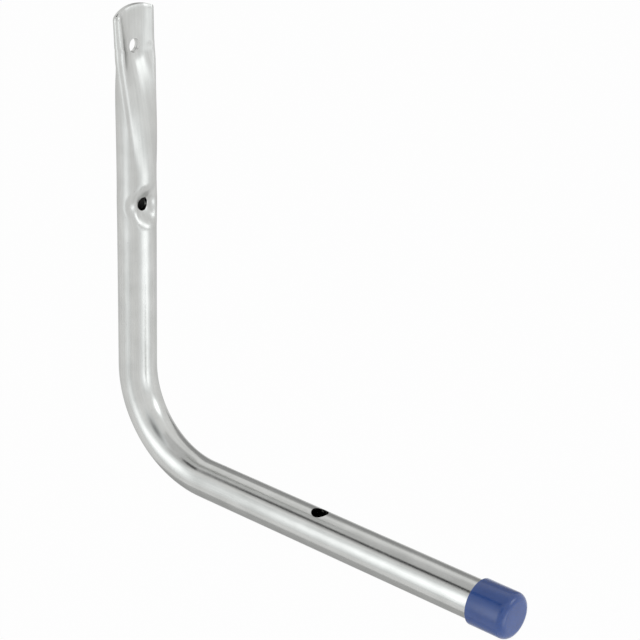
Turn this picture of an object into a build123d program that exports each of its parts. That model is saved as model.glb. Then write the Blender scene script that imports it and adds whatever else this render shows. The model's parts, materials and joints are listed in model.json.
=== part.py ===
"""Hook of bent round tube with a pressed fixing end and a push-on end cap.

The wall that the hook is screwed to is the plane X = 0. The leg stands against it along +Z and the arm
points away from it along +X. The origin is where the axis of the lower fixing hole meets the wall.
"""

import os
from math import atan2, cos, pi, sin, sqrt

from build123d import *

# Tube, in millimetres
tube_od = 20.0
tube_wall = 1.5
bend_radius = 50.0  # centreline of the bend
arm_length = 243.0  # leg axis to the open end

# Fixing holes in the leg
fixing_hole_d = 7.0
hole_spacing = 81.0
lower_hole_above_arm = 139.8  # arm axis to the lower hole

# Pressed end of the leg
end_margin = 20.0  # upper hole to the top of the end arc
end_arc_radius = 25.0
end_arc_offset = 3.5  # the arc's centre, to one side of the leg's middle
round_above_dimple = 4.0  # plain tube left between the dimple and the pressing
flat_below_hole = 4.0  # upper hole to the lower end of the flat
flat_standoff = 5.4  # wall to the back of the flat, at its lower end
flat_lean = 0.6  # how much nearer to the wall the flat is at its top
flat_seam = 0.2  # gap left between the two pressed walls
first_dish = 3.3  # how far the side folds stand forward of the flat's middle, at its lower end
end_dish = 2.4  # the same at the top
first_fold_radius = 7.0  # outer radius of the side folds where a pressing starts
flat_fold_radius = 2.5  # the same at the lower end of the flat
end_fold_radius = 1.95  # the same at the top
press_draw = 2.6  # how much shorter the wall round the tube gets in the flat

# Dimple round the lower hole
dimple_depth = 6.6
dimple_height = 26.0
dimple_dish = 1.3  # how far the side folds stand forward of the dimple's middle
dimple_fold_radius = 4.0
dimple_draw = 2.2  # how much shorter the wall round the tube gets at the hole

# Hole in the top wall of the arm
arm_hole_d = 8.8
arm_hole_from_leg = 126.4  # leg axis to the hole

# End cap
cap_wall = 1.6
cap_length = 21.3
cap_end = 2.2  # thickness of the closed end
cap_edge_radius = 3.9
cap_rim_radius = 0.6
cap_clearance = 0.05  # between the cap's bore and the tube

# Places worked out from the sizes above
tube_r = tube_od / 2
leg_x = tube_r
lower_hole_z = 0.0
upper_hole_z = lower_hole_z + hole_spacing
arm_z = lower_hole_z - lower_hole_above_arm
arm_end_x = leg_x + arm_length
leg_top_z = upper_hole_z + end_margin

dimple_half = dimple_height / 2
dimple_steps = [0.2, 0.4, 0.55, 0.7, 0.85]
press_start_z = lower_hole_z + dimple_half + round_above_dimple
flat_start_z = upper_hole_z - flat_below_hole
press_length = flat_start_z - press_start_z
press_steps = [0.25, 0.4, 0.52, 0.64, 0.74, 0.83, 0.92, 1.0]
flat_back = flat_standoff - tube_r
flat_front = flat_back + 2 * tube_wall + flat_seam

cap_bore_r = tube_r + cap_clearance
cap_r = cap_bore_r + cap_wall
cap_bore_length = cap_length - cap_end
cap_start_x = arm_end_x - cap_bore_length


def section_arcs(front, back, fold_x, fold_y, fold_r):
    """Back, fold and front arcs of half a pressed section, as (centre x, centre y, radius, turns).

    The turns are the angles of the outward normal at the arc's ends. Each arc runs smoothly into the
    next, and a front that is pressed hollow has a negative radius.
    """
    back_x = ((back + fold_r) ** 2 - fold_x**2 - fold_y**2) / (2 * (back + fold_r - fold_x))
    front_x = ((front - fold_r) ** 2 - fold_x**2 - fold_y**2) / (2 * (front - fold_r - fold_x))
    back_r = back_x - back
    front_r = front - front_x
    back_turn = atan2(fold_y, fold_x - back_x)
    front_turn = atan2(front_r * fold_y, front_r * (fold_x - front_x))
    return [
        (back_x, 0, back_r, pi, back_turn),
        (fold_x, fold_y, fold_r, back_turn, front_turn),
        (front_x, 0, front_r, front_turn, 0),
    ]


def wall_length(arcs):
    """Developed length of the wall's middle line round half the section."""
    return sum(abs(radius - tube_wall / 2) * abs(end - start) for _, _, radius, start, end in arcs)


def pressed_arcs(front, back, dish, fold_r, draw):
    """Section with its front pressed in and a fold at each side.

    The folds lie so far apart that the wall has its length from the round tube, less what is drawn away.
    """
    fold_x = front - fold_r + dish
    length = pi * (tube_r - tube_wall / 2) - draw / 2
    narrow, wide = sqrt(dish * (2 * fold_r - dish)), pi * tube_r
    while wide - narrow > 1e-6:
        fold_y = (narrow + wide) / 2
        if wall_length(section_arcs(front, back, fold_x, fold_y, fold_r)) < length:
            narrow = fold_y
        else:
            wide = fold_y
    return section_arcs(front, back, fold_x, fold_y, fold_r)


def between(start, end, share):
    return start + (end - start) * share


def dimple_arcs(step):
    """Section of the dimple, from 0 for the round tube to 1 at the lower hole."""
    pressed = (1 - cos(pi * step)) / 2
    return pressed_arcs(
        front=tube_r - dimple_depth * pressed,
        back=-tube_r,
        dish=dimple_dish * pressed,
        fold_r=between(first_fold_radius, dimple_fold_radius, pressed),
        draw=dimple_draw * pressed,
    )


def end_arcs(step):
    """Section of the pressed length, from 0 for the round tube to 1 at the lower end of the flat."""
    pressed = step**2
    return pressed_arcs(
        front=between(tube_r, flat_front, pressed),
        back=between(-tube_r, flat_back, pressed**4),
        dish=first_dish * pressed**2,
        fold_r=between(first_fold_radius, flat_fold_radius, pressed),
        draw=press_draw * pressed,
    )


def top_arcs():
    """Section of the flat at its top."""
    return pressed_arcs(
        front=flat_front - flat_lean,
        back=flat_back - flat_lean,
        dish=end_dish,
        fold_r=end_fold_radius,
        draw=press_draw,
    )


def round_arcs(arcs):
    """Round tube section, divided into arcs as a pressed one is."""
    fold_start = arcs[1][3]
    fold_end = fold_start / 2
    turns = [(pi, fold_start), (fold_start, fold_end), (fold_end, 0)]
    return [(0, 0, tube_r, start, end) for start, end in turns]


def section_face(arcs, height, inset):
    """Level face on the leg's axis with a section's outline, inset from the outer surface."""

    def point(arc, turn, side=1):
        x, y, radius, _, _ = arc
        radius -= inset
        return leg_x + x + radius * cos(turn), side * (y + radius * sin(turn)), height

    back, fold, front = arcs
    start, end = fold[3], fold[4]
    middle = (start + end) / 2
    edges = [
        ThreePointArc(point(back, start, -1), point(back, pi), point(back, start)),
        ThreePointArc(point(fold, start), point(fold, middle), point(fold, end)),
        ThreePointArc(point(front, end), point(front, 0), point(front, end, -1)),
        ThreePointArc(point(fold, end, -1), point(fold, middle, -1), point(fold, start, -1)),
    ]
    return Face(Wire(edges))


def dimple_sections(inset):
    """Faces up the dimple, from the round tube below it to the round tube above it."""
    round_section = round_arcs(dimple_arcs(dimple_steps[0]))
    lower_half = [(round_section, 0)] + [(dimple_arcs(step), step) for step in dimple_steps]
    faces = [section_face(arcs, lower_hole_z - dimple_half * (1 - step), inset) for arcs, step in lower_half]
    faces.append(section_face(dimple_arcs(1), lower_hole_z, inset))
    for arcs, step in reversed(lower_half):
        faces.append(section_face(arcs, lower_hole_z + dimple_half * (1 - step), inset))
    return faces


def press_sections(inset):
    """Faces up the pressed length, from the round tube to the flat."""
    faces = [section_face(round_arcs(end_arcs(press_steps[0])), press_start_z, inset)]
    for step in press_steps:
        faces.append(section_face(end_arcs(step), press_start_z + step * press_length, inset))
    return faces


os.makedirs("parts", exist_ok=True)

outer_dimple = dimple_sections(0)
inner_dimple = dimple_sections(tube_wall)
outer_press = press_sections(0)
inner_press = press_sections(tube_wall)
outer_top = section_face(top_arcs(), leg_top_z, 0)
inner_top = section_face(top_arcs(), leg_top_z, tube_wall)

with BuildPart() as hook_tube:
    # Round tube: arm, bend and lower leg
    with BuildLine():
        FilletPolyline(
            (arm_end_x, 0, arm_z),
            (leg_x, 0, arm_z),
            (leg_x, 0, lower_hole_z - dimple_half),
            radius=bend_radius,
        )
    with BuildSketch(Plane(origin=(arm_end_x, 0, arm_z), z_dir=(-1, 0, 0))):
        Circle(tube_r)
        Circle(tube_r - tube_wall, mode=Mode.SUBTRACT)
    sweep()

    # Outer skin of the dimple, the plain tube above it, the pressed length and the flat
    loft(outer_dimple)
    extrude(outer_dimple[-1], amount=round_above_dimple, dir=(0, 0, 1))
    loft(outer_press)
    loft([outer_press[-1], outer_top])

    # The hollow inside them, which narrows to the seam
    loft(inner_dimple, mode=Mode.SUBTRACT)
    extrude(inner_dimple[-1], amount=round_above_dimple, dir=(0, 0, 1), mode=Mode.SUBTRACT)
    loft(inner_press, mode=Mode.SUBTRACT)
    loft([inner_press[-1], inner_top], mode=Mode.SUBTRACT)

    # The top is cut to an arc
    with BuildSketch(Plane.YZ):
        with Locations((end_arc_offset, leg_top_z - end_arc_radius)):
            Rectangle(4 * tube_od, 2 * end_arc_radius, align=(Align.CENTER, Align.MIN))
            Circle(end_arc_radius, mode=Mode.SUBTRACT)
    extrude(amount=tube_od, mode=Mode.SUBTRACT)

    # Fixing holes from the front, and the hole in the arm's top wall
    with Locations(
        Plane(origin=(tube_od, 0, upper_hole_z), z_dir=(1, 0, 0)),
        Plane(origin=(tube_od, 0, lower_hole_z), z_dir=(1, 0, 0)),
    ):
        Hole(fixing_hole_d / 2, depth=tube_od)
    with Locations((leg_x + arm_hole_from_leg, 0, arm_z + tube_r)):
        Hole(arm_hole_d / 2, depth=tube_r)

with BuildPart() as end_cap:
    cap_plane = Plane(origin=(cap_start_x, 0, arm_z), x_dir=(1, 0, 0), z_dir=(0, -1, 0))
    with BuildSketch(cap_plane) as cap_profile:
        with Locations((0, cap_r)):
            Rectangle(cap_length, cap_r, align=(Align.MIN, Align.MAX))
        fillet(cap_profile.vertices().sort_by(lambda corner: corner.X + corner.Y)[-1], cap_edge_radius)
        Rectangle(cap_bore_length, cap_bore_r, align=(Align.MIN, Align.MIN), mode=Mode.SUBTRACT)
        rim_corners = cap_profile.vertices().group_by(Axis.X)[0]
        fillet(rim_corners.sort_by(Axis.Y)[-1], cap_rim_radius)
    revolve(axis=Axis((0, 0, arm_z), (1, 0, 0)))

hook_tube.part.label = "hook_tube"
end_cap.part.label = "end_cap"
export_step(hook_tube.part, "parts/hook_tube.step")
export_step(end_cap.part, "parts/end_cap.step")
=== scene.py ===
"""Looks of the tube hook: a zinc plated tube, a blue push-on cap and a white studio."""

import json
from math import atan2, cos, pi, radians, sin, sqrt

import bmesh
import bpy
from mathutils import Matrix, Quaternion, Vector


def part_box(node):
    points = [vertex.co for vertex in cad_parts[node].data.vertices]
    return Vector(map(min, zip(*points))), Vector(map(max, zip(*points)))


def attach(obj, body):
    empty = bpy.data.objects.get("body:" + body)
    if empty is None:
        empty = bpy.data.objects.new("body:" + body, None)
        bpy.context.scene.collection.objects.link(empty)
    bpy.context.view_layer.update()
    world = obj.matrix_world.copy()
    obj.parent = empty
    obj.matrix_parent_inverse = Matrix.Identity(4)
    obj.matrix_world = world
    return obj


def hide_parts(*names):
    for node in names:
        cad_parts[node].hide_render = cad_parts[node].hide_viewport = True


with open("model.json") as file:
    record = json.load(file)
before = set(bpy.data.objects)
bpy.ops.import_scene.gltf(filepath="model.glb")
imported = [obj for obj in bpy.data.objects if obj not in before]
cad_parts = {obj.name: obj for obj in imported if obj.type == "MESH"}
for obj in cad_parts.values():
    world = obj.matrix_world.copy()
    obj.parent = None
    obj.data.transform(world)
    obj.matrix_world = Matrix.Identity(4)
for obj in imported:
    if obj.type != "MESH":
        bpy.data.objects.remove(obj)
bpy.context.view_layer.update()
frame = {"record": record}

MM = 0.001


def in_mm(metres):
    """Millimetres, to the nearest micrometre."""
    return round(metres / MM, 3)


# Tube, cap and holes in millimetres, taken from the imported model
mounts = {mount["name"]: mount for mount in frame["record"]["mounts"]}
tube_low, tube_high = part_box("hook_tube")
cap_low, cap_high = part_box("end_cap")
arm_z = in_mm((cap_low[2] + cap_high[2]) / 2)
arm_end_x = in_mm(tube_high[0])
leg_top_z = in_mm(tube_high[2])
tube_r = in_mm(arm_z * MM - tube_low[2])
leg_x = tube_r
cap_r = in_mm((cap_high[2] - cap_low[2]) / 2)
cap_start_x = in_mm(cap_low[0])
cap_end_x = in_mm(cap_high[0])
lower_hole_z = in_mm(mounts["lower_fixing_hole"]["pos_m"][2])
upper_hole_z = in_mm(mounts["upper_fixing_hole"]["pos_m"][2])
fixing_hole_r = mounts["lower_fixing_hole"]["dims"]["r_mm"]
arm_hole_x = in_mm(mounts["arm_hole"]["pos_m"][0])
arm_hole_r = mounts["arm_hole"]["dims"]["r_mm"]

# Other sizes in millimetres, the same as in the part's source
tube_wall = 1.5
bend_radius = 50.0
cap_edge_radius = 3.9
cap_rim_radius = 0.6
cap_clearance = 0.05
cap_bore_r = tube_r + cap_clearance

# Flat at the end of the leg, in millimetres and fitted more closely than in the part's source
end_arc_radius = 30.0
end_arc_offset = 2.2  # the arc's centre, towards +Y
flat_start_z = 77.0
flat_back = -4.1  # back of the flat's middle at its lower end, from the leg's axis away from the wall
flat_front = -0.9  # the same for its front
flat_lean = 0.6  # how much nearer to the wall the flat is at its top
first_dish = 3.3  # how far the side folds stand forward of the flat's middle, at its lower end
end_dish = 2.0  # the same at the top
flat_fold_radius = 2.5  # outer radius of the side folds at the flat's lower end
press_draw = 2.6  # how much shorter the wall round the tube gets in the flat
far_dish_share = 0.62  # what the fold on the +Y side keeps of the dish
far_draw = 0.6  # added to the draw for the +Y half
far_hollow_radius = 12.0  # beside the fold on the +Y side
near_hollow_radius = 14.0  # beside the fold on the -Y side
fold_spare = 0.05  # kept between a fold's radius and half the thickness there
level_radius = 1e5  # stands for a straight line
flat_edge_rise = 0.32  # of the flat's lower edge, for each millimetre from its middle
pinched_fold_radius = 1.75  # at the cut end, where the walls are squeezed together
pinched_wall = 1.57  # thickness of the wall there
pinched_draw = 3.25  # as press_draw, there
cut_rounding = 0.35  # of the outer edge at the cut end

# Pressed length below the flat, in millimetres and shares of that length
press_start_z = 17.0
ridge_radius = 3.2  # of the two ridges that run up to the flat's folds
ridge_depth = 2.5  # how far the ridges start behind the front of the round tube
front_slope = 0.6  # how much of the fall of the front is straight
front_run_in = 0.06  # over which the straight fall starts
flat_run_in = 0.08  # over which the length turns into the flat
far_hollow_onset = 6  # power of the step by which the hollow on the +Y side comes in
near_hollow_onset = 14  # the same on the -Y side

# Dimple round the lower hole, in millimetres
dimple_half = 13.0  # half of its height
dimple_depth = 6.6
dimple_dish = 1.3  # how far the lip on the -Y side stands forward of the dimple's middle
dimple_fold_radius = 4.6  # outer radius of that lip
dimple_draw = 4.6  # twice what the wall's -Y half gets shorter by, at the hole
far_lip_dish = 2.5  # how far the lip on the +Y side stands forward of the dimple's middle
far_lip_radius = 3.4
far_lip_foot = 3.0  # radius of the hollow at the foot of that lip
far_lip_draw = -1.2  # as dimple_draw, for the +Y half, which is stretched at the hole
far_lip_taken_up = 5.0  # and shortened above and below it
lip_turn = 0.72  # angle on the round tube at which both lips start, in radians

# How finely the pieces are divided
ring_points = 160
bend_steps = 40
dimple_rings = 20  # in each half of the dimple
press_rings = 56
flat_rings = 18
hole_points = 96
cap_points = 128
cap_rim_steps = 5
cap_edge_steps = 14

# Making of the pieces
drill_overlap = 1.0  # millimetres that a drill reaches out of the tube
merge_distance = 1e-4  # millimetres, under which two points become one
tube_crease = 32  # degrees, above which an edge is shaded sharp
cap_crease = 35

# Camera in millimetres, degrees and pixels, fitted to the tube's outlines in the photograph
camera_place = (673.87, -658.23, 347.44)
camera_aim = (64.63, 82.21, -74.40)
camera_roll = 1.943
focal_px = 1964.6
image_px = 640
sensor_width = 36.0

# Studio, in metres
floor_level = -1.0
floor_size = 12.0
floor_glow = 0.97  # how much of the floor looks plain white to rays that show it directly
lit_middle = (0.04, 0.0, -0.06)  # in the hook's corner
ambient_level = 0.55
strip_place = (-0.43, -0.492, 0.818)
strip_way = (-0.551, -0.381, 0.742)  # direction of the strip, seen from the arm


def section_arcs(front, back, fold_x, fold_y, fold_r, hollow_r=None):
    """Back, fold and front arcs of half a pressed section, as (centre x, centre y, radius, turns).

    The turns are the angles of the outward normal at the arc's ends. A hollow arc has a negative radius.
    The front is one arc between the folds, or level with a hollow of its own radius beside the fold.
    """
    back_x = ((back + fold_r) ** 2 - fold_x**2 - fold_y**2) / (2 * (back + fold_r - fold_x))
    back_turn = atan2(fold_y, fold_x - back_x)
    arcs = [(back_x, 0, back_x - back, pi, back_turn)]
    if hollow_r is None:
        front_x = ((front - fold_r) ** 2 - fold_x**2 - fold_y**2) / (2 * (front - fold_r - fold_x))
        front_r = front - front_x
        front_turn = atan2(front_r * fold_y, front_r * (fold_x - front_x))
        arcs.append((fold_x, fold_y, fold_r, back_turn, front_turn))
        arcs.append((front_x, 0, front_r, front_turn, 0))
    else:
        hollow_x = front + hollow_r
        reach = sqrt((hollow_r + fold_r) ** 2 - (hollow_x - fold_x) ** 2)
        front_turn = -atan2(reach, hollow_x - fold_x)
        arcs.append((fold_x, fold_y, fold_r, back_turn, front_turn))
        arcs.append((hollow_x, fold_y - reach, -hollow_r, front_turn, 0))
        arcs.append((front - level_radius, 0, level_radius, (fold_y - reach) / level_radius, 0))
    return arcs


def wall_length(arcs):
    """Developed length of the wall's middle line round half the section."""
    return sum(abs(radius - tube_wall / 2) * abs(end - start) for _, _, radius, start, end in arcs)


def pressed_arcs(front, back, dish, fold_r, draw, hollow_r=None):
    """Section with its front pressed in, whose wall keeps its length less what is drawn away."""
    fold_x = front - fold_r + dish
    length = pi * (tube_r - tube_wall / 2) - draw / 2
    # At its narrowest the fold touches the round tube from inside, or leaves the front no width
    if dish < 0:
        narrow = sqrt((tube_r - fold_r) ** 2 - fold_x**2)
    else:
        narrow = sqrt(max(dish * (2 * (fold_r + (hollow_r or 0)) - dish), 0))
    wide = pi * tube_r
    while wide - narrow > 1e-6:
        fold_y = (narrow + wide) / 2
        if wall_length(section_arcs(front, back, fold_x, fold_y, fold_r, hollow_r)) < length:
            narrow = fold_y
        else:
            wide = fold_y
    return section_arcs(front, back, fold_x, fold_y, fold_r, hollow_r)


def between(start, end, share):
    return start + (end - start) * share


def mixed(start, end, share):
    """Point between two points of a section."""
    return between(start[0], end[0], share), between(start[1], end[1], share)


def outline_point(arcs, share, inset):
    """Point of a section's outline, where share runs from the back's middle round the +Y side."""
    side = 1 if share <= 0.5 else -1
    half_length = sum(abs(radius * (end - start)) for _, _, radius, start, end in arcs)
    left = 2 * min(share, 1 - share) * half_length
    for x, y, radius, start, end in arcs:
        length = abs(radius * (end - start))
        turn = between(start, end, min(left / length, 1))
        if left <= length:
            break
        left -= length
    return x + (radius - inset) * cos(turn), side * (y + (radius - inset) * sin(turn))


def round_point(share, inset):
    """The same for the round tube."""
    turn = pi - 2 * pi * share
    return (tube_r - inset) * cos(turn), (tube_r - inset) * sin(turn)


def pressed_side(size, hollow_r, hollow):
    """One side of a section: its arcs, those with a hollow beside the fold, and how far these count."""
    arcs = pressed_arcs(**size)
    if size["dish"] <= 0:
        return arcs, arcs, 0
    return arcs, pressed_arcs(**size, hollow_r=hollow_r), hollow


def two_sided(far, near):
    """Outline of a section with one side towards +Y and another towards -Y."""

    def outline(share, inset):
        arcs, hollow_arcs, hollow = far if share <= 0.5 else near
        return mixed(outline_point(arcs, share, inset), outline_point(hollow_arcs, share, inset), hollow)

    return outline


def dimple_outline(step):
    """Outline of the dimple, from 0 for the round tube to 1 at the lower hole."""
    pressed = (1 - cos(pi * step)) / 2
    near = dict(
        front=tube_r - dimple_depth * pressed,
        back=-tube_r,
        dish=between((tube_r - dimple_fold_radius) * (cos(lip_turn) - 1), dimple_dish, pressed),
        fold_r=dimple_fold_radius,
        draw=dimple_draw * pressed,
    )
    far = dict(
        near,
        dish=between((tube_r - far_lip_radius) * (cos(lip_turn) - 1), far_lip_dish, pressed),
        fold_r=far_lip_radius,
        draw=far_lip_draw * pressed**3 + far_lip_taken_up * pressed * (1 - pressed),
    )
    steepness = (far["dish"] / far_lip_dish) ** 2
    return two_sided(pressed_side(far, far_lip_foot, steepness), pressed_side(near, None, 0))


def hollowed(near, far_share, near_share):
    """Outline that goes over from one front arc to a level front, with a hollow inside each fold."""
    far_dish = near["dish"] * between(1, far_dish_share, far_share)
    thickness = near["front"] - near["back"] + far_dish
    far = dict(
        near,
        dish=far_dish,
        fold_r=min(near["fold_r"], thickness / 2 - fold_spare),
        draw=near["draw"] + far_draw * far_share,
    )
    far_side = pressed_side(far, far_hollow_radius, far_share)
    return two_sided(far_side, pressed_side(near, near_hollow_radius, near_share))


def eased(step):
    """The step, with the end of the pressed length rounded so that it runs smoothly into the flat."""
    left = 1 - step
    left = left**2 / (2 * flat_run_in) if left < flat_run_in else left - flat_run_in / 2
    return 1 - left / (1 - flat_run_in / 2)


def press_outline(step):
    """Outline of the pressed length, from 0 for the round tube to 1 at the lower end of the flat."""
    step = eased(step)
    pressed = step**2
    straight = (1 + front_run_in) * pressed / (step + front_run_in)
    front = between(tube_r, flat_front, between(step**3, straight, front_slope))
    ridge_front = between(tube_r, flat_front, pressed) + between(-ridge_depth, first_dish, step**3)
    size = dict(
        front=front,
        back=between(-tube_r, flat_back, pressed**4),
        dish=ridge_front - front,
        fold_r=between(ridge_radius, flat_fold_radius, pressed),
        draw=press_draw * pressed,
    )
    return hollowed(size, step**far_hollow_onset, step**near_hollow_onset)


def end_outline():
    """Outline of the flat at its top."""
    size = dict(
        front=flat_front - flat_lean,
        back=flat_back - flat_lean,
        dish=end_dish,
        fold_r=pinched_fold_radius,
        draw=pinched_draw,
    )
    return hollowed(size, 1, 1)


def on_leg(outline, height, rise=0):
    """Places of a ring across the leg, by share of the ring and inset from the outer skin."""

    def place(share, inset):
        x, y = outline(share, inset)
        return leg_x + x, y, height + rise * abs(y)

    return place


def arc_height(y):
    """Height of the arc that the flat is cut to."""
    return leg_top_z - end_arc_radius + sqrt(end_arc_radius**2 - (y - end_arc_offset) ** 2)


def on_flat(step):
    """Places on the flat, from 0 at its lower edge to 1 at the arc that it ends in."""
    lower, upper = press_outline(1), end_outline()

    def place(share, inset):
        start, end = lower(share, inset), upper(share, inset * pinched_wall / tube_wall)
        level = step
        # The section widens and leans with the height, and the height depends on the place across it,
        # so a few rounds settle both
        for _ in range(4):
            x, y = mixed(start, end, level)
            height = between(flat_start_z + flat_edge_rise * abs(y), arc_height(y), step)
            level = (height - flat_start_z) / (leg_top_z - flat_start_z)
        return leg_x + x, y, height

    return place


def leg_rings():
    """Places of the rings up the leg: dimple, plain tube, pressed length and flat."""
    rings = [on_leg(round_point, lower_hole_z - dimple_half)]
    for count in range(1 - dimple_rings, dimple_rings):
        height = dimple_half * count / dimple_rings
        rings.append(on_leg(dimple_outline(1 - abs(count) / dimple_rings), lower_hole_z + height))
    rings.append(on_leg(round_point, lower_hole_z + dimple_half))
    rings.append(on_leg(round_point, press_start_z))
    for count in range(1, press_rings + 1):
        step = count / press_rings
        height = between(press_start_z, flat_start_z, step)
        rings.append(on_leg(press_outline(step), height, flat_edge_rise * step**3))
    return rings + [on_flat(count / flat_rings) for count in range(1, flat_rings + 1)]


def open_loop(ring):
    """Edges of the loop through a ring's points, at the open end of the wall."""
    points = set(ring)
    edges = dict.fromkeys(edge for vert in ring for edge in vert.link_edges)
    return [e for e in edges if (e.is_boundary or e.is_wire) and points.issuperset(e.verts)]


def in_order(bm, geometry):
    """The new ring among what an operator made, in the order of its points' numbers."""
    number = bm.verts.layers.int["number"]
    return sorted((v for v in geometry if isinstance(v, bmesh.types.BMVert)), key=lambda v: v[number])


def carry_on(bm, ring, place, inset):
    """Extrudes the ring's edge loop and puts each new point where place says for its share of the ring."""
    number = bm.verts.layers.int["number"]
    new_ring = in_order(bm, bmesh.ops.extrude_edge_only(bm, edges=open_loop(ring))["geom"])
    for vert in new_ring:
        vert.co = place(vert[number] / ring_points, inset)
    return new_ring


def follow_bend(bm, ring, angle):
    """Turns the ring round the bend in steps."""
    turned = bmesh.ops.spin(
        bm,
        geom=list(ring) + open_loop(ring),
        cent=(leg_x + bend_radius, 0, arm_z + bend_radius),
        axis=(0, 1, 0),
        angle=angle,
        steps=bend_steps,
    )
    return in_order(bm, turned["geom_last"])


def along_tube(place):
    """Length along the tube's axis from the arm's open end to a place on its skin."""
    arm = arm_end_x - leg_x - bend_radius
    x, z = place.x - leg_x - bend_radius, place.z - arm_z - bend_radius
    if x > 0:
        return arm - x
    if z < 0:
        return arm + bend_radius * atan2(-x, -z)
    return arm + bend_radius * pi / 2 + z


def unroll(bm):
    """Gives the skin the UV map of the straight blank: turns round it, and circumferences along it."""
    number = bm.verts.layers.int["number"]
    blank = bm.loops.layers.uv.new("blank")
    for face in bm.faces:
        numbers = [vert[number] for vert in face.verts]
        crosses_seam = max(numbers) - min(numbers) > ring_points / 2
        for loop in face.loops:
            turns = loop.vert[number] / ring_points
            if crosses_seam and turns < 0.5:
                turns += 1
            loop[blank].uv = turns, along_tube(loop.vert.co) / (2 * pi * tube_r)


def tube_wall_mesh():
    """Tube wall, made along its outside from the arm's end to the flat's arc and back along its inside."""

    def on_arm(x):
        def place(share, inset):
            across, y = round_point(share, inset)
            return x, y, arm_z + across

        return place

    bm = bmesh.new()
    number = bm.verts.layers.int.new("number")
    start = bmesh.ops.create_circle(bm, segments=ring_points, radius=tube_r)["verts"]
    for place, vert in enumerate(start):
        vert[number] = place
        vert.co = on_arm(arm_end_x)(place / ring_points, 0)
    ring = carry_on(bm, start, on_arm(leg_x + bend_radius), 0)
    ring = follow_bend(bm, ring, pi / 2)
    rings = leg_rings()
    for place in rings[:-1]:
        ring = carry_on(bm, ring, place, 0)
    ring = carry_on(bm, ring, rings[-1], cut_rounding)
    for place in reversed(rings):
        ring = carry_on(bm, ring, place, tube_wall)
    ring = carry_on(bm, ring, on_leg(round_point, arm_z + bend_radius), tube_wall)
    ring = follow_bend(bm, ring, -pi / 2)
    ring = carry_on(bm, ring, on_arm(arm_end_x), tube_wall)
    ends = set(start) | set(ring)
    rims = [edge for edge in bm.edges if edge.is_boundary and all(vert in ends for vert in edge.verts)]
    bmesh.ops.bridge_loops(bm, edges=rims)
    bmesh.ops.recalc_face_normals(bm, faces=bm.faces)
    unroll(bm)
    return bm


def as_object(bm, name):
    """New object in the scene, made of a mesh that is in metres."""
    mesh = bpy.data.meshes.new(name)
    bm.to_mesh(mesh)
    bm.free()
    made = bpy.data.objects.new(name, mesh)
    bpy.context.scene.collection.objects.link(made)
    return made


def finished(bm, name):
    """The same for a piece, whose mesh is in millimetres."""
    bmesh.ops.scale(bm, vec=(MM, MM, MM), verts=bm.verts)
    return as_object(bm, name)


def round_cutter(name, start, end, radius):
    """Drill for one hole, as an object that is removed after use."""
    bm = bmesh.new()
    start, end = Vector(start), Vector(end)
    turn = (end - start).to_track_quat("Z", "Y").to_matrix().to_4x4()
    bmesh.ops.create_cone(
        bm,
        cap_ends=True,
        segments=hole_points,
        radius1=radius,
        radius2=radius,
        depth=(end - start).length,
        matrix=Matrix.Translation((start + end) / 2) @ turn,
    )
    return finished(bm, name)


def drill(piece, cutters):
    """Cuts the holes into the piece's mesh, tidies the faces at their rims and removes the cutters."""
    for cutter in cutters:
        modifier = piece.modifiers.new(cutter.name, "BOOLEAN")
        modifier.operation = "DIFFERENCE"
        modifier.solver = "EXACT"
        modifier.object = cutter
    evaluated = piece.evaluated_get(bpy.context.evaluated_depsgraph_get())
    drilled = bpy.data.meshes.new_from_object(evaluated)
    bm = bmesh.new()
    bm.from_mesh(drilled)
    bmesh.ops.remove_doubles(bm, verts=bm.verts, dist=merge_distance * MM)
    rim_faces = [face for face in bm.faces if len(face.verts) > 4]
    bmesh.ops.triangulate(bm, faces=rim_faces, ngon_method="BEAUTY")
    bm.to_mesh(drilled)
    bm.free()
    piece.modifiers.clear()
    piece.data = drilled
    for cutter in cutters:
        bpy.data.objects.remove(cutter)


def shade(piece, crease):
    """Smooth shading, apart from edges sharper than crease in degrees."""
    mesh = piece.data
    mesh.polygons.foreach_set("use_smooth", [True] * len(mesh.polygons))
    mesh.set_sharp_from_angle(angle=radians(crease))


def make_tube():
    """Bent and pressed tube with its three holes."""
    tube = finished(tube_wall_mesh(), "zinc_hook_tube")
    behind, before = -drill_overlap, 2 * tube_r + drill_overlap
    above_arm = arm_z + tube_r + drill_overlap
    drill(tube, [
        round_cutter("upper_drill", (behind, 0, upper_hole_z), (before, 0, upper_hole_z), fixing_hole_r),
        round_cutter("lower_drill", (behind, 0, lower_hole_z), (before, 0, lower_hole_z), fixing_hole_r),
        round_cutter("arm_drill", (arm_hole_x, 0, arm_z), (arm_hole_x, 0, above_arm), arm_hole_r),
    ])
    shade(tube, tube_crease)
    return tube


def make_cap():
    """Push-on cap, turned from its profile with a rounded rim and end."""
    bm = bmesh.new()
    corners = [
        (arm_end_x, 0), (arm_end_x, cap_bore_r), (cap_start_x, cap_bore_r),
        (cap_start_x, cap_r), (cap_end_x, cap_r), (cap_end_x, 0),
    ]
    verts = [bm.verts.new((x, 0, arm_z + r)) for x, r in corners]
    for start, end in zip(verts, verts[1:]):
        bm.edges.new((start, end))
    rim = (verts[3], cap_rim_radius, cap_rim_steps)
    closed_end = (verts[4], cap_edge_radius, cap_edge_steps)
    for corner, radius, steps in (rim, closed_end):
        bmesh.ops.bevel(
            bm, geom=[corner], offset=radius, segments=steps, profile=0.5, affect="VERTICES", material=-1
        )
    bmesh.ops.spin(
        bm,
        geom=list(bm.verts) + list(bm.edges),
        cent=(0, 0, arm_z),
        axis=(1, 0, 0),
        angle=2 * pi,
        steps=cap_points,
        use_merge=True,
    )
    bmesh.ops.remove_doubles(bm, verts=bm.verts, dist=merge_distance)
    bmesh.ops.recalc_face_normals(bm, faces=bm.faces)
    cap = finished(bm, "blue_end_cap")
    shade(cap, cap_crease)
    return cap


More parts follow.
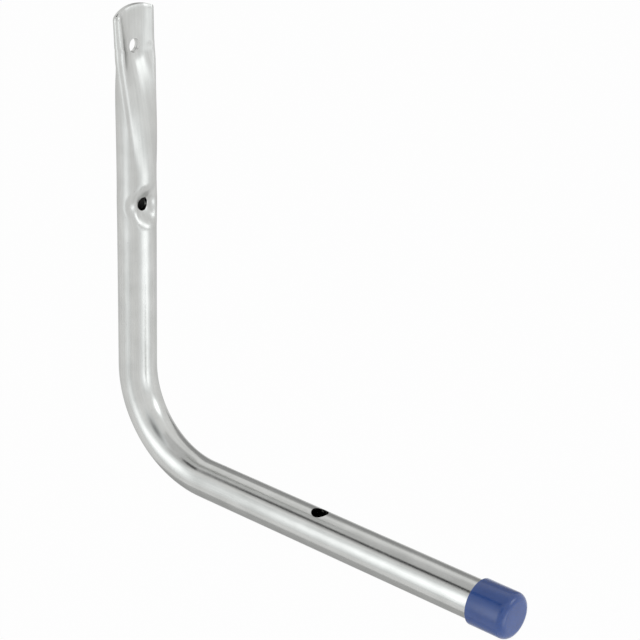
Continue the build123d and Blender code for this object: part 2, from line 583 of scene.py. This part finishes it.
class Shader:
    """Node tree of a new material, built node by node."""

    def __init__(self, name):
        self.material = bpy.data.materials.new(name)
        self.material.use_nodes = True
        self.tree = self.material.node_tree
        self.surface = self.tree.nodes["Principled BSDF"]

    def add(self, kind, inputs=None, **settings):
        node = self.tree.nodes.new(kind)
        for name, value in settings.items():
            setattr(node, name, value)
        for name, value in (inputs or {}).items():
            self.set(node, name, value)
        return node

    def set(self, node, name, value):
        if isinstance(value, bpy.types.NodeSocket):
            self.tree.links.new(value, node.inputs[name])
        else:
            node.inputs[name].default_value = value

    def math(self, operation, first, second=0.0):
        return self.add("ShaderNodeMath", {0: first, 1: second}, operation=operation).outputs[0]

    def noise(self, place, stretch, scale, detail=2.0, roughness=0.5):
        mapped = self.add("ShaderNodeMapping", {"Vector": place, "Scale": stretch}).outputs[0]
        inputs = {"Vector": mapped, "Scale": scale, "Detail": detail, "Roughness": roughness}
        return self.add("ShaderNodeTexNoise", inputs).outputs["Fac"]

    def spread(self, value, low, high, start, end):
        """Value from low to high, spread over start to end."""
        inputs = {"Value": value, "From Min": low, "From Max": high, "To Min": start, "To Max": end}
        return self.add("ShaderNodeMapRange", inputs, clamp=True).outputs[0]

    def blend(self, share, first, second):
        return self.add("ShaderNodeMix", {0: share, 6: first, 7: second}, data_type="RGBA").outputs[2]


def bright_zinc():
    """Zinc plated drawn tube: streaks along it, a few specks, and a gloss that is softer on the leg.

    The pattern lies on the straight blank: round the tube and along it, both in tube radii.
    """
    zinc = Shader("bright_zinc")
    uv = zinc.add("ShaderNodeUVMap", uv_map="blank").outputs[0]
    parts = zinc.add("ShaderNodeSeparateXYZ", {0: uv})
    turn = zinc.math("MULTIPLY", parts.outputs[0], 2 * pi)
    length = zinc.math("MULTIPLY", parts.outputs[1], 2 * pi)
    blank = zinc.add("ShaderNodeCombineXYZ", {
        0: zinc.math("COSINE", turn), 1: zinc.math("SINE", turn), 2: length,
    }).outputs[0]

    streaks = zinc.noise(blank, (9, 9, 0.06), 1.0, detail=5, roughness=0.65)
    broad_streaks = zinc.noise(blank, (2.2, 2.2, 0.05), 1.0, detail=2)
    bloom = zinc.noise(blank, (1, 1, 0.6), 1.3, detail=3)
    specks = zinc.spread(zinc.noise(blank, (1, 1, 1), 14, detail=2), 0.70, 0.76, 0, 1)
    softer_on_leg = zinc.spread(length, 19.0, 36.0, 0, 0.13)

    tone = zinc.math("ADD", zinc.math("MULTIPLY", streaks, 0.5), zinc.math("MULTIPLY", bloom, 0.5))
    plain = zinc.blend(zinc.spread(tone, 0.35, 0.65, 0, 1), (0.51, 0.515, 0.50, 1), (0.62, 0.625, 0.61, 1))
    zinc.set(zinc.surface, "Base Color", zinc.blend(specks, plain, (0.40, 0.40, 0.39, 1)))
    roughness = zinc.math("ADD", zinc.spread(streaks, 0.3, 0.7, 0.14, 0.23), softer_on_leg)
    zinc.set(zinc.surface, "Roughness", roughness)
    zinc.set(zinc.surface, "Metallic", 1.0)
    zinc.set(zinc.surface, "Specular Tint", (0.75, 0.75, 0.75, 1))
    fine, broad = zinc.math("MULTIPLY", streaks, 0.14), zinc.math("MULTIPLY", broad_streaks, 0.8)
    height = zinc.math("ADD", fine, broad)
    bump = zinc.add("ShaderNodeBump", {"Height": height, "Strength": 0.7, "Distance": 0.00012})
    zinc.set(zinc.surface, "Normal", bump.outputs[0])
    return zinc.material


def blue_plastic():
    """Moulded soft plastic with a faint grain."""
    blue = Shader("blue_plastic")
    place = blue.add("ShaderNodeTexCoord").outputs["Object"]
    mottle = blue.noise(place, (1, 1, 1), 140, detail=3)
    grain = blue.noise(place, (1, 1, 1), 2200, detail=2)
    blue.set(blue.surface, "Base Color", blue.blend(
        blue.spread(mottle, 0.35, 0.65, 0, 1), (0.013, 0.056, 0.245, 1), (0.020, 0.072, 0.285, 1)
    ))
    blue.set(blue.surface, "Roughness", blue.spread(mottle, 0.3, 0.7, 0.16, 0.23))
    blue.set(blue.surface, "Specular IOR Level", 0.7)
    bump = blue.add("ShaderNodeBump", {"Height": grain, "Strength": 0.25, "Distance": 0.0001})
    blue.set(blue.surface, "Normal", bump.outputs[0])
    return blue.material


def make_camera():
    """Camera at the photograph's place and angle."""
    data = bpy.data.cameras.new("photo_camera")
    data.sensor_width = sensor_width
    data.lens = focal_px * sensor_width / image_px
    camera = bpy.data.objects.new("photo_camera", data)
    bpy.context.scene.collection.objects.link(camera)
    place, aim = Vector(camera_place) * MM, Vector(camera_aim) * MM
    turn = (aim - place).to_track_quat("-Z", "Y") @ Quaternion((0, 0, 1), radians(camera_roll))
    camera.matrix_world = Matrix.Translation(place) @ turn.to_matrix().to_4x4()
    bpy.context.scene.camera = camera


def seen_directly(tree):
    """1 for rays that show a thing itself: from the camera, in a gloss or through something clear."""
    path = tree.nodes.new("ShaderNodeLightPath")
    total = path.outputs["Is Camera Ray"]
    for name in ("Is Glossy Ray", "Is Transmission Ray"):
        adder = tree.nodes.new("ShaderNodeMath")
        adder.operation = "ADD"
        adder.use_clamp = True
        tree.links.new(total, adder.inputs[0])
        tree.links.new(path.outputs[name], adder.inputs[1])
        total = adder.outputs[0]
    return total


def make_world():
    """White surroundings, which light the hook at a lower level than they are seen at."""
    world = bpy.data.worlds.new("white_studio")
    bpy.context.scene.world = world
    world.use_nodes = True
    tree = world.node_tree
    background = tree.nodes["Background"]
    background.inputs["Color"].default_value = (1, 1, 1, 1)
    level = tree.nodes.new("ShaderNodeMix")
    level.inputs[2].default_value = ambient_level
    level.inputs[3].default_value = 1.0
    tree.links.new(seen_directly(tree), level.inputs[0])
    tree.links.new(level.outputs[0], background.inputs["Strength"])


def flat_sheet(name, matrix, width, height):
    """Rectangle of the studio."""
    bm = bmesh.new()
    placed = matrix @ Matrix.Diagonal((width, height, 1, 1))
    bmesh.ops.create_grid(bm, x_segments=1, y_segments=1, size=0.5, matrix=placed)
    sheet = as_object(bm, name)
    return sheet


def make_floor():
    """Pale floor, far below the hook."""
    floor = flat_sheet("pale_floor", Matrix.Translation((0, 0, floor_level)), floor_size, floor_size)
    white = Shader("pale_floor")
    white.set(white.surface, "Base Color", (0.9, 0.9, 0.9, 1))
    white.set(white.surface, "Roughness", 0.9)
    glow = white.add("ShaderNodeEmission", {"Color": (1, 1, 1, 1), "Strength": 1.0})
    share = white.math("MULTIPLY", seen_directly(white.tree), floor_glow)
    shown = white.add("ShaderNodeMixShader", {0: share, 1: white.surface.outputs[0], 2: glow.outputs[0]})
    white.tree.links.new(shown.outputs[0], white.tree.nodes["Material Output"].inputs["Surface"])
    floor.data.materials.append(white.material)


def facing(azimuth, elevation, distance):
    """Place and turn of something that faces the hook's corner from a direction in degrees."""
    a, e = radians(azimuth), radians(elevation)
    way = Vector((cos(a) * cos(e), sin(a) * cos(e), sin(e)))
    turn = way.to_track_quat("Z", "Y").to_matrix().to_4x4()
    return Matrix.Translation(Vector(lit_middle) + way * distance) @ turn


def over_arm():
    """Place and turn of a strip that lies along the arm, above it on its left, and faces down to it."""
    way = Vector(strip_way).normalized()
    along = (Vector((1, 0, 0)) - way * way.x).normalized()
    turn = Matrix((along, way.cross(along), way)).transposed().to_4x4()
    return Matrix.Translation(strip_place) @ turn


def make_softbox(name, matrix, width, height, middle, rim):
    """Round lamp cover, whose glow goes over from one strength at its middle to another at its rim."""
    bm = bmesh.new()
    placed = matrix @ Matrix.Diagonal((width, height, 1, 1))
    bmesh.ops.create_circle(bm, cap_ends=True, segments=64, radius=0.5, matrix=placed)
    softbox = as_object(bm, name)
    cover = Shader(name)

    def vector_math(operation, first, second):
        return cover.add("ShaderNodeVectorMath", {0: first, 1: tuple(second)}, operation=operation)

    place = cover.add("ShaderNodeTexCoord").outputs["Object"]
    shift = vector_math("SUBTRACT", place, matrix.translation).outputs[0]
    across = vector_math("DOT_PRODUCT", shift, matrix.col[0].xyz / width)
    upward = vector_math("DOT_PRODUCT", shift, matrix.col[1].xyz / height)
    squares = [cover.math("POWER", node.outputs["Value"], 2) for node in (across, upward)]
    share = cover.math("MULTIPLY", cover.math("SQRT", cover.math("ADD", *squares)), 2.0)
    strength = cover.add("ShaderNodeMapRange", {
        "Value": share, "From Min": 0.0, "From Max": 1.0, "To Min": middle, "To Max": rim,
    }, clamp=True, interpolation_type="SMOOTHERSTEP").outputs[0]
    glow = cover.add("ShaderNodeEmission", {"Color": (0.97, 0.99, 1, 1), "Strength": strength})
    cover.tree.links.new(glow.outputs[0], cover.tree.nodes["Material Output"].inputs["Surface"])
    softbox.data.materials.append(cover.material)
    softbox.visible_camera = False
    return softbox


def gloss_only(sheet):
    """Leaves a sheet to be seen in the gloss of the hook alone."""
    sheet.visible_camera = False
    sheet.visible_shadow = False
    sheet.visible_diffuse = False


def make_card(name, matrix, width, height, grey):
    """Dark card beside the lamps, which only the gloss of the hook shows."""
    card = flat_sheet(name, matrix, width, height)
    paper = Shader(name)
    paper.set(paper.surface, "Base Color", (0, 0, 0, 1))
    paper.set(paper.surface, "Specular IOR Level", 0.0)
    paper.set(paper.surface, "Emission Color", (1, 1, 1, 1))
    paper.set(paper.surface, "Emission Strength", grey)
    card.data.materials.append(paper.material)
    gloss_only(card)


def make_lights():
    """Three softboxes, and the cards that shade the tube's reflections."""
    make_softbox("left_softbox", facing(-107, 3, 1.5), width=1.4, height=2.2, middle=2.1, rim=1.0)
    make_softbox("right_softbox", facing(3, -19, 1.5), width=2.1, height=1.3, middle=2.2, rim=1.0)
    make_softbox("high_right_softbox", facing(27, 21, 1.5), width=1.2, height=0.9, middle=3.2, rim=1.0)
    make_card("ceiling_card", facing(-110, 72, 1.3), width=1.7, height=1.7, grey=0.7)
    gloss_only(make_softbox(
        "card_by_camera", facing(-58, 34, 1.25), width=1.1, height=1.1, middle=0.25, rim=1.0
    ))
    make_card("card_at_right", facing(112, 16, 1.4), width=1.3, height=1.0, grey=0.45)
    make_card("strip_over_arm", over_arm(), width=0.46, height=0.22, grey=0.0)
    make_card("card_below", facing(-170, -72, 0.6), width=0.55, height=0.55, grey=0.6)


bpy.context.scene.view_settings.view_transform = "Standard"
tube = make_tube()
tube.data.materials.append(bright_zinc())
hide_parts("hook_tube")
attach(tube, "root")
cap = make_cap()
cap.data.materials.append(blue_plastic())
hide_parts("end_cap")
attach(cap, "root")
make_world()
make_floor()
make_lights()
make_camera()
